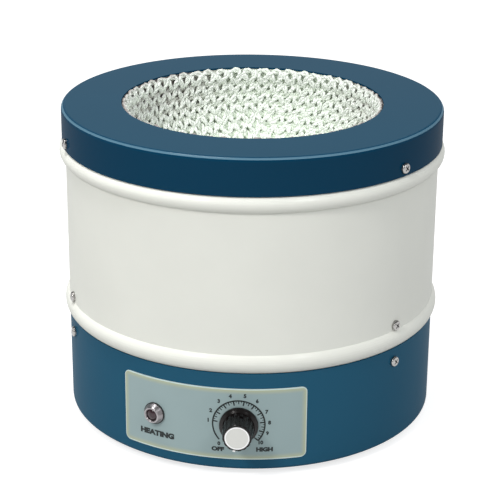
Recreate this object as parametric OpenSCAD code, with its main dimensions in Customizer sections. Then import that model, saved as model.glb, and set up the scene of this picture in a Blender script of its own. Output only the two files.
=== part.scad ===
// Heating mantle for a three-litre round-bottom flask: a spun sheet-metal housing around a
// crocheted glass-fibre heating bowl, with a power regulator in its base.
// Z is up, the control panel faces -Y, and the origin is under the middle of the feet.

/* [Housing] */
// Outer diameter of the barrel and of the base drum
body_d = 275; // [272:0.5:278]
// Outer diameter of the cover's skirt
cover_d = 280; // [279:0.5:281]
// Height of the cover, top face to lower edge
cover_h = 27; // [25:0.5:30]
// Height of the barrel that shows between cover and base
barrel_h = 130; // [126:1:136]
// Height of the base drum
base_h = 74.5; // [72:0.5:78]
// Thickness of the housing's sheet metal
sheet = 1.2; // [1.0:0.1:1.4]
// How far the upper bead stands out of the barrel
upper_bead_out = 4.5; // [3.5:0.5:5]
// How far the lower bead stands out of the barrel
lower_bead_out = 3.2; // [2.5:0.1:4]
// Height of the rubber feet
foot_h = 5; // [4:0.5:6]

/* [Heating bowl] */
// Diameter of the flask hole in the cover
hole_d = 192; // [190:0.5:196]
// Inner diameter of the bowl over the crests of its stitches
bowl_d = 185; // [182:1:186]
// Stitches round the rim
rim_stitches = 54; // [48:2:60]
// Crocheted rounds from the middle to the rim
rounds = 18; // [15:1:20]
// Depth of the stitches' relief
stitch_relief = 2.4; // [1.5:0.1:2.8]

/* [Control panel] */
// Width of the panel round the drum
panel_w = 137; // [130:1:144]
// Height of the panel
panel_h = 54.5; // [50:0.5:56]
// Where the knob sits on the drum, in degrees from the front
knob_at = 8.5; // [6:0.5:12]
// Where the pilot lamp sits on the drum, in degrees from the front
lamp_at = -17.5; // [-20:0.5:-14]
// Diameter of the knob's skirt
knob_d = 27.6; // [26:0.2:30]
// Depth of the knob, back to front
knob_h = 20; // [17:0.5:22]

/* [Hidden] */

$fn = 96;
gap = 0.05;            // between pieces that touch
body_r = body_d / 2;
cover_r = cover_d / 2;
hole_r = hole_d / 2;

// Levels
z_base = foot_h;                        // lower edge of the base drum
z_joint = z_base + base_h;              // barrel on drum
z_skirt = z_joint + barrel_h;           // lower edge of the cover's skirt
z_top = z_skirt + cover_h;              // top face of the cover
z_controls = z_base + 36;               // axis of the knob and the lamp
z_plate = z_base + sheet;               // underside of the bottom plate

// Screws
screw_angles = [-60, 60, 180];
head_r = 3.8;
head_h = 2.6;
shank_r = 2;
shank_l = 8;
z_cover_screws = z_skirt + 6;
z_barrel_screws = z_joint + 18;
z_base_screws = z_joint - 10;

// Colours
deep_blue = [0.05, 0.24, 0.38];
ivory = [0.88, 0.88, 0.84];
steel = [0.72, 0.73, 0.75];
rubber = [0.10, 0.10, 0.11];
brass = [0.78, 0.63, 0.32];
bakelite = [0.06, 0.06, 0.07];

// ---------------------------------------------------------------- helpers

// Points on an arc of radius r round c, from angle a0 to a1 in n steps
function arc(c, r, a0, a1, n = 8) =
    [for (i = [0:n]) let (a = a0 + (a1 - a0) * i / n) c + r * [cos(a), sin(a)]];

// Puts its children on the drum's wall: their Z points out of the wall and their Y points up
module on_wall(angle, z, r = body_r)
    rotate(angle) translate([0, -r, z]) rotate([90, 0, 0]) children();

// A tube or washer along Z
module ring(outer_r, inner_r, h)
    difference() {
        cylinder(r = outer_r, h = h);
        translate([0, 0, -1]) cylinder(r = inner_r, h = h + 2);
    }

// A hexagon nut, af across its flats, threaded on a shank of radius r
module hex_nut(af, r, h)
    difference() {
        cylinder(d = af / cos(30), h = h, $fn = 6);
        translate([0, 0, -1]) cylinder(r = r + gap, h = h + 2);
    }

// A wire through a list of points, a little thicker at its bends
module wire(points, r)
    for (i = [0:len(points) - 2]) {
        p = points[i];
        d = points[i + 1] - p;
        translate(p) rotate([0, acos(d.z / norm(d)), atan2(d.y, d.x)]) cylinder(r = r, h = norm(d));
        if (i > 0) translate(p) sphere(r = 1.08 * r);
    }

// A pan-head screw with a cross recess, its head seated at z = 0 and its shank down
module pan_screw(length = shank_l)
    difference() {
        rotate_extrude() polygon(concat(
            [[0, -length], [shank_r - 0.8, -length], [shank_r, -length + 1.5], [shank_r, 0], [head_r, 0]],
            arc([head_r - 1.6, head_h - 1.6], 1.6, 0, 55, 4),
            [[1.4, head_h], [0, head_h]]));
        for (turn = [45, 135]) rotate(turn)
            translate([-2.2, -0.45, head_h - 1.5]) cube([4.4, 0.9, 2]);
    }

module screw_ring(z, r) color(steel)
    for (a = screw_angles) on_wall(a, z, r) pan_screw();

module screw_holes(z)
    for (a = screw_angles) on_wall(a, z, body_r - 20) cylinder(r = shank_r + 0.1, h = 30);

// ---------------------------------------------------------------- housing

corner_r = 3.2;        // rounding of the cover's outer edge
neck_r = cover_r - sheet - 0.5;

// Spun steel ring: flat top with the flask hole, rounded edge and a straight skirt
module top_cover() color(deep_blue) difference() {
    rotate_extrude($fn = 180) polygon(concat(
        [[hole_r, z_top - sheet], [hole_r, z_top]],
        arc([cover_r - corner_r, z_top - corner_r], corner_r, 90, 0, 6),
        [[cover_r, z_skirt], [cover_r - sheet, z_skirt]],
        arc([cover_r - corner_r, z_top - corner_r], corner_r - sheet, 0, 90, 6)));
    screw_holes(z_cover_screws);
}

// One side of a rolled bead: an arc that stands out by `out` from the wall at wall_r, over a
// height of 2 * half; `inset` is 0 for the outer face and the sheet's thickness for the inner one.
// It stops where it meets radius top_r above and foot_r below.
function bead(z, wall_r, out, half, inset, foot_r, top_r) =
    let (rho = (half * half + out * out) / (2 * out),
         c = wall_r + out - rho,
         r = rho - inset,
         a0 = -acos((foot_r - inset - c) / r),
         a1 = acos((top_r - inset - c) / r))
    arc([c, z], r, a0, a1, 10);

upper_bead_half = 6.2;
lower_bead_half = 6.5;
z_upper_bead = z_skirt - upper_bead_half;
z_lower_bead = z_joint + lower_bead_half + 0.9;
lower_neck_r = body_r - sheet - 0.1;
lower_neck_h = 18;

// The barrel's section on its outer face (inset 0) or its inner face (inset = sheet), going up
function barrel_face(inset) = concat(
    [[lower_neck_r - inset, z_joint - lower_neck_h]],
    bead(z_lower_bead, body_r, lower_bead_out, lower_bead_half, inset, lower_neck_r, body_r),
    bead(z_upper_bead, body_r, upper_bead_out, upper_bead_half, inset, body_r, neck_r),
    [[neck_r - inset, z_top - sheet - 1]]);

function reversed(list) = [for (i = [len(list) - 1:-1:0]) list[i]];

// Rolled aluminium barrel with a bead at each end; its necks go up into the cover and down into
// the drum
module barrel() color(ivory) difference() {
    rotate_extrude($fn = 180) polygon(concat(barrel_face(0), reversed(barrel_face(sheet))));
    screw_holes(z_cover_screws);
    screw_holes(z_barrel_screws);
    screw_holes(z_base_screws);
}

flange_r = 104;        // inner radius of the drum's bottom flange
foot_ring_r = 115;     // the feet's distance from the axis
foot_angles = [45, 135, 225, 315];
gland_at = 180;
fuse_at = 160;
gland_thread_r = 7.6;
fuse_tube_r = 6.3;
lamp_thread_r = 5;
regulator_thread_r = 3.5;
control_hole_gap = 0.1;

module foot_positions()
    for (a = foot_angles) rotate(a) translate([foot_ring_r, 0, 0]) children();

// Deep-drawn steel drum: open on top, with a turned-in flange below that the bottom plate lies on
module base_drum() color(deep_blue) difference() {
    rotate_extrude($fn = 180) polygon(concat(
        [[flange_r, z_base]],
        arc([body_r - 3, z_base + 3], 3, -90, 0, 6),
        [[body_r, z_joint], [body_r - sheet, z_joint]],
        arc([body_r - 3, z_base + 3], 3 - sheet, 0, -90, 6),
        [[flange_r, z_base + sheet]]));
    screw_holes(z_base_screws);
    on_wall(knob_at, z_controls) control_hole(regulator_thread_r);
    on_wall(lamp_at, z_controls) control_hole(lamp_thread_r);
    on_wall(gland_at, z_controls) control_hole(gland_thread_r);
    on_wall(fuse_at, z_controls) control_hole(fuse_tube_r);
    foot_positions() translate([0, 0, z_base - 1]) cylinder(r = shank_r + 0.1, h = 4);
}

module control_hole(r)
    translate([0, 0, -8]) cylinder(r = r + control_hole_gap, h = 16);

vent_count = 16;
vent_w = 4;
vent_in = 48;
vent_out = 84;

// Steel plate that closes the base, with a ring of cooling slots
module bottom_plate() color(steel) difference() {
    translate([0, 0, z_plate]) linear_extrude(sheet) difference() {
        circle(r = body_r - sheet - 3);
        for (i = [0:vent_count - 1]) rotate(i * 360 / vent_count) {
            translate([vent_in, -vent_w / 2]) square([vent_out - vent_in, vent_w]);
            for (x = [vent_in, vent_out]) translate([x, 0]) circle(d = vent_w);
        }
    }
    foot_positions() translate([0, 0, z_plate - 1]) cylinder(r = shank_r + 0.1, h = 4);
}

// Moulded rubber foot with a sunk hole for its screw
module foot(i) color(rubber) rotate(foot_angles[i]) translate([foot_ring_r, 0, 0])
    rotate_extrude() polygon([
        [4.6, 0], [8, 0], [9.2, foot_h], [shank_r + 0.1, foot_h], [shank_r + 0.1, 3.4], [4.6, 3.4]]);

module foot_screws() color(steel) foot_positions()
    translate([0, 0, 3.4]) rotate([180, 0, 0]) pan_screw(foot_h - 3.4 + 2 * sheet + 5);

module foot_nuts() color(steel) foot_positions()
    translate([0, 0, z_plate + sheet]) hex_nut(7, shank_r, 3);

// ---------------------------------------------------------------- heating bowl

bowl_r = bowl_d / 2;
bowl_back_r = bowl_r + 5;               // outer face of the crocheted wall
z_bowl = z_top - 4;                     // level of the bowl's centre
bowl_columns = 2 * rim_stitches;
bowl_rows = 2 * rounds;
back_rows = 5;
rim_lip_r = hole_r - 0.5;               // the last round stands inside the flask hole

// Stitches in a round, halved as the rounds get smaller towards the middle
function stitches_in(round) =
    round > rounds * 0.42 ? rim_stitches : round > rounds * 0.16 ? rim_stitches / 2 : rim_stitches / 4;

// Height of the relief at a grid point, 0 in a valley to 1 on a crest. Each round is shifted by
// half a stitch against the last, as crochet lies.
function relief(row, column) =
    let (round = floor(row / 2),
         turn = 360 * column / bowl_columns * stitches_in(round) + 180 * (round % 2))
    row % 2 == 0 ? 0.12 : 0.45 + 0.55 * cos(turn);

function on_sphere(r, polar, turn) =
    [r * sin(polar) * cos(turn), r * sin(polar) * sin(turn), z_bowl - r * cos(polar)];

bowl_front = [for (row = [1:bowl_rows - 1], column = [0:bowl_columns - 1])
    on_sphere(bowl_r + stitch_relief * (1 - relief(row, column)), 90 * row / bowl_rows,
              360 * column / bowl_columns)];

// The scalloped rim: two rings of points, inner and outer
bowl_rim = [for (side = [0, 1], column = [0:bowl_columns - 1])
    let (turn = 360 * column / bowl_columns,
         crest = column % 2 == 0 ? 1 : 0,
         r = side == 0 ? bowl_r + 0.6 : rim_lip_r)
    [r * cos(turn), r * sin(turn), z_top - 2.4 + 1.8 * crest]];

bowl_back = [for (row = [back_rows:-1:1], column = [0:bowl_columns - 1])
    on_sphere(bowl_back_r, 90 * row / back_rows, 360 * column / bowl_columns)];

// Joins two neighbouring rings of `n` points that start at a and b
function band(a, b, n) = [for (i = [0:n - 1]) let (j = (i + 1) % n) each
    [[a + i, b + i, b + j], [a + i, b + j, a + j]]];

// Wall of crocheted glass-fibre yarn, with the heating wire inside the yarn: rounds of stitches
// on the flask's side and a smooth back
module heater_bowl() color([0.93, 0.95, 0.92]) {
    rings = bowl_rows - 1 + 2 + back_rows;
    last = 1 + rings * bowl_columns;
    polyhedron(
        points = concat([[0, 0, z_bowl - bowl_r - stitch_relief / 2]], bowl_front, bowl_rim, bowl_back,
                        [[0, 0, z_bowl - bowl_back_r]]),
        faces = concat(
            [for (i = [0:bowl_columns - 1]) [0, 1 + i, 1 + (i + 1) % bowl_columns]],
            [for (k = [0:rings - 2]) each
                band(1 + k * bowl_columns, 1 + (k + 1) * bowl_columns, bowl_columns)],
            [for (i = [0:bowl_columns - 1])
                [last - bowl_columns + i, last, last - bowl_columns + (i + 1) % bowl_columns]]));
}

hoop_wire_r = 1.3;
z_insulation_top = z_top - 5.4;
cavity_r = bowl_back_r + 0.5;
lead_hole_r = 7;

// Steel hoop that the bowl's rim is laced to, lying on the insulation
module rim_hoop() color(steel)
    translate([0, 0, z_insulation_top + hoop_wire_r + gap]) rotate_extrude($fn = 180)
        translate([bowl_back_r + 2.2, 0]) circle(r = hoop_wire_r, $fn = 24);

pan_rise = 10;                          // the pan's floor above the joint
z_pan = z_joint + pan_rise;
pan_r = body_r - sheet - 0.1;
insulation_r = 130;

// Moulded block of ceramic wool around the bowl
module insulation_block() color([0.93, 0.91, 0.84]) difference() {
    rotate_extrude($fn = 180) polygon(concat(
        [[0, z_pan + sheet + gap]],
        arc([insulation_r - 12, z_pan + sheet + gap + 12], 12, -90, 0, 4),
        [[insulation_r, z_insulation_top], [0, z_insulation_top]]));
    translate([0, 0, z_bowl]) sphere(r = cavity_r, $fn = 180);
    translate([0, 0, z_bowl]) cylinder(r = cavity_r, h = 20, $fn = 180);
    translate([0, 0, z_pan]) cylinder(r = lead_hole_r, h = z_bowl - z_pan);
}

bush_r = 6;

// Pressed pan between the hot chamber and the electrics, screwed to the barrel by its rim
module partition_pan() color(steel) difference() {
    rotate_extrude($fn = 180) polygon(concat(
        [[bush_r + 0.1, z_pan]],
        arc([pan_r - 3, z_pan + 3], 3, -90, 0, 4),
        [[pan_r, z_pan + 16], [pan_r - sheet, z_pan + 16]],
        arc([pan_r - 3, z_pan + 3], 3 - sheet, 0, -90, 4),
        [[bush_r + 0.1, z_pan + sheet]]));
    screw_holes(z_barrel_screws);
}

// Porcelain bush that leads the two supply leads through the pan
module lead_bush() color("white") translate([0, 0, z_pan]) difference() {
    rotate_extrude() polygon([
        [0, -7], [bush_r - 1, -7], [bush_r, -6], [bush_r, 0], [bush_r, sheet + gap],
        [bush_r, sheet + 0.1], [bush_r, sheet + 6], [0, sheet + 6]]);
    for (x = [-2.6, 2.6]) translate([x, 0, -10]) cylinder(r = 1.5, h = 30);
}

lead_r = 1.4;
block_x = 48;
block_y = 34;
z_block = z_plate + sheet;

// The bowl's two sleeved supply leads, down through the bush to the terminal block
module heater_leads() color([0.90, 0.88, 0.80]) for (side = [-1, 1])
    wire([[side * 2.6, 0, z_bowl - bowl_back_r - 0.4],
          [side * 2.6, 0, z_pan - 18],
          [block_x + side * 6, block_y, z_pan - 36],
          [block_x + side * 6, block_y, z_block + 18.2]], lead_r);

// ---------------------------------------------------------------- control panel

panel_t = 0.6;
panel_corner_r = 4;
panel_turn = panel_w / body_r * 90 / PI;    // half the panel's angle
panel_half_x = body_r * sin(panel_turn);

// Thin printed plate bent round the drum
module control_panel() color([0.62, 0.71, 0.72]) difference() {
    intersection() {
        translate([0, 0, z_base]) ring(body_r + panel_t, body_r + 0.02, base_h);
        translate([0, 0, z_controls]) rotate([90, 0, 0]) linear_extrude(body_r + 10)
            rounded_rectangle(2 * panel_half_x, panel_h, panel_corner_r);
    }
    on_wall(knob_at, z_controls) control_hole(regulator_thread_r);
    on_wall(lamp_at, z_controls) control_hole(lamp_thread_r);
}

module rounded_rectangle(w, h, r) {
    square([w, h - 2 * r], center = true);
    square([w - 2 * r, h], center = true);
    for (x = [-1, 1], y = [-1, 1]) translate([x * (w / 2 - r), y * (h / 2 - r)]) circle(r = r);
}

bezel_r = 7.6;
bezel_front_r = 6;
bezel_h = 5.6;
lens_r = 4.2;

// Chromed collar of the pilot lamp, with its threaded tail through the drum's wall
module lamp_bezel() color("silver") on_wall(lamp_at, z_controls)
    rotate_extrude() polygon(concat(
        [[lens_r + gap, -12], [lamp_thread_r, -12], [lamp_thread_r, panel_t + 0.2],
         [bezel_r, panel_t + 0.2], [bezel_r, panel_t + 1.2]],
        arc([bezel_front_r - 0.7, bezel_h - 0.7], 0.7, 20, 90, 4),
        [[lens_r + 0.6, bezel_h], [lens_r + gap, bezel_h - 0.9]]));

// Clear lens with a rounded nose
module lamp_lens() color([0.45, 0.16, 0.18]) on_wall(lamp_at, z_controls)
    rotate_extrude() polygon(concat(
        [[0, -3], [lens_r, -3]],
        arc([0, bezel_h - 5.4], sqrt(pow(lens_r, 2) + pow(4, 2)), 43.6, 90, 6)));

// Neon lamp's body behind the lens, with two soldering tags
module lamp_body() color([0.85, 0.84, 0.80]) on_wall(lamp_at, z_controls) {
    translate([0, 0, -24]) cylinder(r = lens_r - gap, h = 20.9);
    for (x = [-2, 2]) translate([x - 0.4, -1.2, -30]) cube([0.8, 2.4, 6.5]);
}

module lamp_nut() color(steel) on_wall(lamp_at, z_controls)
    translate([0, 0, -5]) hex_nut(14, lamp_thread_r, 3);

// ---------------------------------------------------------------- knob and regulator

knob_back = 1.8;                        // the knob's back stands this far off the drum
knob_front = knob_back + knob_h;
skirt_t = 2.6;
knob_foot_r = 11.4;
knob_nose_r = 10.2;
face_r = 9;
face_t = 0.8;
shaft_r = 3;
flutes = 16;
knob_taper = atan((knob_foot_r - knob_nose_r) / (knob_h - skirt_t));
off_turn = 12;                          // pointer's angle past straight down when switched off
pointer_w = 1.8;
pointer_in = face_r + 0.3;              // the pointer's inner end
zero_turn = 180 - off_turn;

// The knob's outline: a skirt with a rounded edge and a tapering body
module knob_outline() rotate_extrude() polygon(concat(
    [[0, knob_back], [knob_d / 2, knob_back]],
    arc([knob_d / 2 - 1.5, knob_back + skirt_t - 1.5], 1.5, 0, 70, 4),
    [[knob_foot_r, knob_back + skirt_t + 0.9]],
    arc([knob_nose_r - 0.8, knob_front - 0.8], 0.8, 0, 90, 4),
    [[0, knob_front]]));

module on_knob_axis() on_wall(knob_at, z_controls) rotate(zero_turn) children();

// Moulded black knob: fluted body on a round skirt, hollow behind
module knob() color(bakelite) on_knob_axis() difference() {
    knob_outline();
    for (i = [0:flutes - 1]) rotate((i + 0.5) * 360 / flutes)
        translate([knob_foot_r + 0.7, 0, knob_back + skirt_t + 1.4]) rotate([0, -knob_taper, 0])
            cylinder(r = 1.5, h = knob_h);
    translate([0, 0, knob_front - face_t]) cylinder(r = face_r + gap, h = 2);
    translate([0, 0, knob_back - 1]) cylinder(r = 8.4, h = 4.4);
    cylinder(r = shaft_r + 0.02, h = knob_front - 3);
    translate([0, 0, knob_back + 9]) rotate([90, 0, 0]) cylinder(r = 1.6, h = 15);
    translate([-pointer_w / 2 - 0.02, pointer_in - 0.02, knob_back + 0.8])
        cube([pointer_w + 0.04, 8, knob_h]);
}

// Satin aluminium disc let into the knob's front
module knob_face() color([0.88, 0.88, 0.86]) on_knob_axis()
    translate([0, 0, knob_front - face_t + 0.02]) cylinder(r = face_r, h = face_t);

// White pointer: a rib let into the knob that runs from the disc down its side and over the skirt
module knob_pointer() color("white") on_knob_axis()
    translate([-pointer_w / 2, 0, 0]) rotate([90, 0, 90]) linear_extrude(pointer_w) polygon([
        [pointer_in, knob_back + 0.82], [knob_d / 2, knob_back + 0.82], [knob_d / 2, knob_back + 1.2],
        [knob_d / 2 - 0.9, knob_back + skirt_t + 0.1], [knob_foot_r + 0.6, knob_back + skirt_t + 0.4],
        [knob_nose_r + 0.7, knob_front - 0.6], [knob_nose_r + 0.2, knob_front],
        [pointer_in, knob_front]]);

module knob_grub_screw() color(steel) on_knob_axis() translate([0, 0, knob_back + 9]) rotate([90, 0, 0])
    translate([0, 0, shaft_r + 0.1]) difference() {
        cylinder(r = 1.5, h = 5);
        translate([-1.2, -0.25, 4.2]) cube([2.4, 0.5, 2]);
    }

regulator_r = 12;
regulator_face = -2;                    // the can's front, behind the curved wall

module regulator_shaft() color(steel) on_knob_axis()
    translate([0, 0, regulator_face - 9]) cylinder(r = shaft_r, h = knob_front - 3.2 - regulator_face + 9);

// Rotary regulator with its mains switch behind, and the threaded bushing that holds it
module regulator_body() color([0.55, 0.50, 0.42]) on_wall(knob_at, z_controls) difference() {
    union() {
        translate([0, 0, regulator_face - 12]) cylinder(r = regulator_r, h = 12);
        translate([0, 0, regulator_face - 22]) cylinder(r = regulator_r - 1.5, h = 10.5);
        translate([0, 0, regulator_face - 1]) cylinder(r = regulator_thread_r, h = 6);
        for (x = [-5, 0, 5]) translate([x - 1, -regulator_r - 5, regulator_face - 6]) cube([2, 6, 0.8]);
    }
    translate([0, 0, regulator_face - 9.3]) cylinder(r = shaft_r + 0.08, h = 30);
}

module regulator_nut() color(steel) on_wall(knob_at, z_controls)
    translate([0, 0, panel_t + 0.1]) hex_nut(10, regulator_thread_r, 2);

// ---------------------------------------------------------------- electrics in the base

board = [86, 58, 1.6];
board_at = [-20, -24];
spacer_h = 8;
z_board = z_plate + sheet + spacer_h;
board_hole_inset = 5;

module board_corners()
    for (x = [-1, 1], y = [-1, 1])
        translate([board_at.x + x * (board.x / 2 - board_hole_inset),
                   board_at.y + y * (board.y / 2 - board_hole_inset), 0]) children();

// Phase-control board
module circuit_board() color([0.15, 0.38, 0.22]) difference() {
    translate([board_at.x - board.x / 2, board_at.y - board.y / 2, z_board]) cube(board);
    board_corners() translate([0, 0, z_board - 1]) cylinder(r = 1.6, h = 4);
}

module board_spacers() color(brass) board_corners() {
    translate([0, 0, z_plate + sheet]) cylinder(d = 6 / cos(30), h = spacer_h, $fn = 6);
    translate([0, 0, z_board]) cylinder(r = 1.5, h = board.z + 2);
}

sink_at = [-48, -36];
sink = [3, 34, 30];
fins = 5;

// Finned aluminium heat sink standing on the board
module heat_sink() color([0.75, 0.76, 0.78]) translate([sink_at.x, sink_at.y, z_board + board.z + gap]) {
    cube(sink);
    for (i = [0:fins - 1]) translate([-9, i * (sink.y - 1.5) / (fins - 1), 0]) cube([9.5, 1.5, sink.z]);
}

// Power semiconductor, screwed flat to the heat sink
module triac() color([0.12, 0.12, 0.13]) translate([sink_at.x + sink.x + gap, sink_at.y + 12, z_board + board.z]) {
    translate([0, 0, 6]) cube([4.4, 10, 9]);
    translate([0, 0, 14]) cube([1.3, 10, 7]);
    for (i = [0:2]) translate([1.6, 1.6 + 2.6 * i, gap]) cube([0.7, 1, 7]);
}

module filter_capacitor() color([0.80, 0.62, 0.18]) translate([-14, -48, z_board + board.z + gap])
    cube([18, 9, 15]);

// Toroid choke, standing on the board
module filter_choke() color([0.70, 0.40, 0.16]) translate([4, -18, z_board + board.z + gap + 11])
    rotate([90, 0, 0]) rotate_extrude() translate([7.4, 0]) circle(r = 3.6, $fn = 32);

// Porcelain two-way terminal block
module terminal_block() color([0.92, 0.91, 0.86]) translate([block_x, block_y, z_block]) {
    difference() {
        translate([-13, -10, 0]) cube([26, 20, 16]);
        for (x = [-6, 6]) translate([x, 0, 10]) cylinder(r = 3, h = 10);
    }
    for (x = [-6, 6]) translate([x, 0, 9.5]) cylinder(r = 2.4, h = 8.6);
}

// Where a wire starts inside the drum: `depth` behind the wall at that angle
function inside(angle, z, depth) =
    [(body_r - depth) * sin(angle), -(body_r - depth) * cos(angle), z];

module lamp_leads() color([0.75, 0.12, 0.10]) for (side = [-1, 1])
    wire([inside(lamp_at + side * 1.07, z_controls, 30.05),
          inside(lamp_at + side * 1.07, z_controls, 44),
          [-34 + side * 3, -66, z_board + 20],
          [-34 + side * 3, -49, z_board + 12],
          [-34 + side * 3, -49, z_board + board.z + gap]], 0.8);

module regulator_leads() color([0.15, 0.25, 0.60]) for (x = [-1, 0, 1])
    wire([inside(knob_at + x * 2.2, z_controls - 17.05, 7.6),
          inside(knob_at + x * 2.2, z_controls - 21, 7.6),
          inside(knob_at + x * 2.2, z_controls - 24, 30),
          [10 + x * 3, -60, z_board + 9],
          [10 + x * 3, -48, z_board + 7],
          [10 + x * 3, -48, z_board + board.z + gap]], 0.8);

// ---------------------------------------------------------------- rear fittings

gland_bore_r = 3.75;
gland_out = 21.5;
gland_in = 14;

// Nylon cable gland: threaded tail, hexagon flange and domed clamping cap
module cable_gland() color(rubber) on_wall(gland_at, z_controls) difference() {
    union() {
        rotate_extrude() polygon(concat(
            [[0, -gland_in], [gland_thread_r - 1, -gland_in], [gland_thread_r, -gland_in + 1],
             [gland_thread_r, 0.3], [9.6, 0.3], [9.6, 7], [10, 7.4]],
            arc([10 - 5, gland_out - 5], 5, 0, 70, 6),
            [[0, gland_out]]));
        translate([0, 0, 0.3]) cylinder(d = 22 / cos(30), h = 5, $fn = 6);
    }
    translate([0, 0, -gland_in - 1]) cylinder(r = gland_bore_r, h = gland_in + gland_out + 2);
    for (i = [0:11]) rotate(i * 30) translate([10.6, 0, 9]) cylinder(r = 1, h = gland_out, $fn = 24);
}

module gland_nut() color(rubber) on_wall(gland_at, z_controls)
    translate([0, 0, -7]) hex_nut(22, gland_thread_r, 5);

fuse_bore_r = 4.6;
fuse_tail = 26;
fuse_r = 2.6;
fuse_l = 20;

// Panel fuse holder, open at the front
module fuse_holder() color(bakelite) on_wall(fuse_at, z_controls) difference() {
    union() {
        translate([0, 0, -fuse_tail]) cylinder(r = fuse_tube_r, h = fuse_tail + 1);
        translate([0, 0, 0.2]) cylinder(r = 8.2, h = 2.4);
        translate([-0.4, -2.5, -fuse_tail - 6]) cube([0.8, 5, 8]);
    }
    translate([0, 0, -fuse_tail + 2]) cylinder(r = fuse_bore_r, h = fuse_tail + 10);
}

module fuse_nut() color(rubber) on_wall(fuse_at, z_controls)
    translate([0, 0, -5]) hex_nut(17, fuse_tube_r, 3);

fuse_head = 2.9;

// Fuse carrier: slotted, ribbed head and a stem that grips the fuse
module fuse_cap() color(bakelite) on_wall(fuse_at, z_controls) difference() {
    union() {
        translate([0, 0, fuse_head]) cylinder(r = 6.2, h = 6);
        translate([0, 0, -4]) cylinder(r = fuse_bore_r - 0.08, h = 4 + fuse_head + 0.1);
    }
    translate([0, 0, -5]) cylinder(r = fuse_r + 0.03, h = 4);
    translate([-7, -0.6, fuse_head + 4.8]) cube([14, 1.2, 3]);
    for (i = [0:11]) rotate(i * 30 + 15) translate([6.7, 0, fuse_head - 1]) cylinder(r = 0.9, h = 10, $fn = 24);
}

module fuse() color("silver") on_wall(fuse_at, z_controls)
    translate([0, 0, -1.1 - fuse_l]) cylinder(r = fuse_r, h = fuse_l);

// ---------------------------------------------------------------- what is drawn

top_cover();
screw_ring(z_cover_screws, cover_r);  // cover_screws
barrel();
screw_ring(z_barrel_screws, body_r);  // barrel_screws
base_drum();
screw_ring(z_base_screws, body_r);  // base_screws
bottom_plate();
for (i = [0:3]) foot(i);
foot_screws();
foot_nuts();
heater_bowl();
rim_hoop();
insulation_block();
partition_pan();
lead_bush();
heater_leads();
control_panel();
lamp_bezel();
lamp_lens();
lamp_body();
lamp_nut();
knob();
knob_face();
knob_pointer();
knob_grub_screw();
regulator_shaft();
regulator_body();
regulator_nut();
circuit_board();
board_spacers();
heat_sink();
triac();
filter_capacitor();
filter_choke();
terminal_block();
lamp_leads();
regulator_leads();
cable_gland();
gland_nut();
fuse_holder();
fuse_nut();
fuse_cap();
fuse();
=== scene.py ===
import math

import bmesh
import bpy
import numpy as np
from mathutils import Matrix, Vector


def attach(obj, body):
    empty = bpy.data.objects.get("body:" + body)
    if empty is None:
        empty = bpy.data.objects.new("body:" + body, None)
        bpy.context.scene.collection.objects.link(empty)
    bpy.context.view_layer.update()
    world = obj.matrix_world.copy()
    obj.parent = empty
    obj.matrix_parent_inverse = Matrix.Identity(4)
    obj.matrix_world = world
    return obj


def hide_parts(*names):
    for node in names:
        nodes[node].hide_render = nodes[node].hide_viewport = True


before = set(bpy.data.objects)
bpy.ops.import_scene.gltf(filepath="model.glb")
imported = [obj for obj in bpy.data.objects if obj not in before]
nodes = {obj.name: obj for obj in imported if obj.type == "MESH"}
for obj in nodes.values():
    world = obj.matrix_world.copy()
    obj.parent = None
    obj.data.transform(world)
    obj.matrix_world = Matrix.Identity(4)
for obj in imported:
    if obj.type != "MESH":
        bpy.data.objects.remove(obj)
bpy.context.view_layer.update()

# ---------------------------------------------------------------- camera
# A long lens to the right of the panel and above it, so that the drum's sides look nearly
# parallel. It is turned a little about its own axis.
camera_place = Vector((0.2358, -1.1495, 0.5653))
camera_swing = math.radians(11.636)
camera_drop = math.radians(20.826)
camera_roll = math.radians(0.50)
sensor_width = 36              # mm
focal_length = 119.12          # mm

camera = bpy.data.objects.new("camera", bpy.data.cameras.new("camera"))
bpy.context.scene.collection.objects.link(camera)
bpy.context.scene.camera = camera
camera.data.sensor_width = sensor_width
camera.data.lens = focal_length
camera.matrix_world = (
    Matrix.Translation(camera_place)
    @ Matrix.Rotation(camera_swing, 4, "Z")
    @ Matrix.Rotation(math.pi / 2 - camera_drop, 4, "X")
    @ Matrix.Rotation(camera_roll, 4, "Z")
)

# ---------------------------------------------------------------- studio
# A pale floor and a white surround under a grey ceiling. A small soft lamp stands to the upper
# left of the camera and a weaker one to its right, for the paint's long highlights. A third one
# hangs high to the left and lights the bowl.
bpy.context.scene.view_settings.view_transform = "Standard"


def add_node(tree, kind, settings=None, **inputs):
    """Adds a node to a tree. An input given as a socket is wired to it and any other is set.
    An input called v0, v1 or v2 goes by its place instead of its name."""
    node = tree.nodes.new(kind)
    for key, value in (settings or {}).items():
        setattr(node, key, value)
    for key, value in inputs.items():
        place = int(key[1:]) if key in ("v0", "v1", "v2") else key.replace("_", " ")
        if isinstance(value, bpy.types.NodeSocket):
            tree.links.new(value, node.inputs[place])
        else:
            node.inputs[place].default_value = value
    return node


def compute(tree, operation, a, b=0.0):
    """The result of one arithmetic node. a and b are numbers or other nodes' values."""
    return add_node(tree, "ShaderNodeMath", {"operation": operation}, v0=a, v1=b).outputs[0]


def spread(tree, amount, low, high, start, end):
    """Maps start..end of amount to low..high, and holds it there outside."""
    return add_node(tree, "ShaderNodeMapRange", Value=amount, From_Min=start, From_Max=end,
                    To_Min=low, To_Max=high).outputs["Result"]


def parts_of(tree, vector):
    """A vector's three parts, called X, Y and Z."""
    return add_node(tree, "ShaderNodeSeparateXYZ", Vector=vector).outputs


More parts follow.
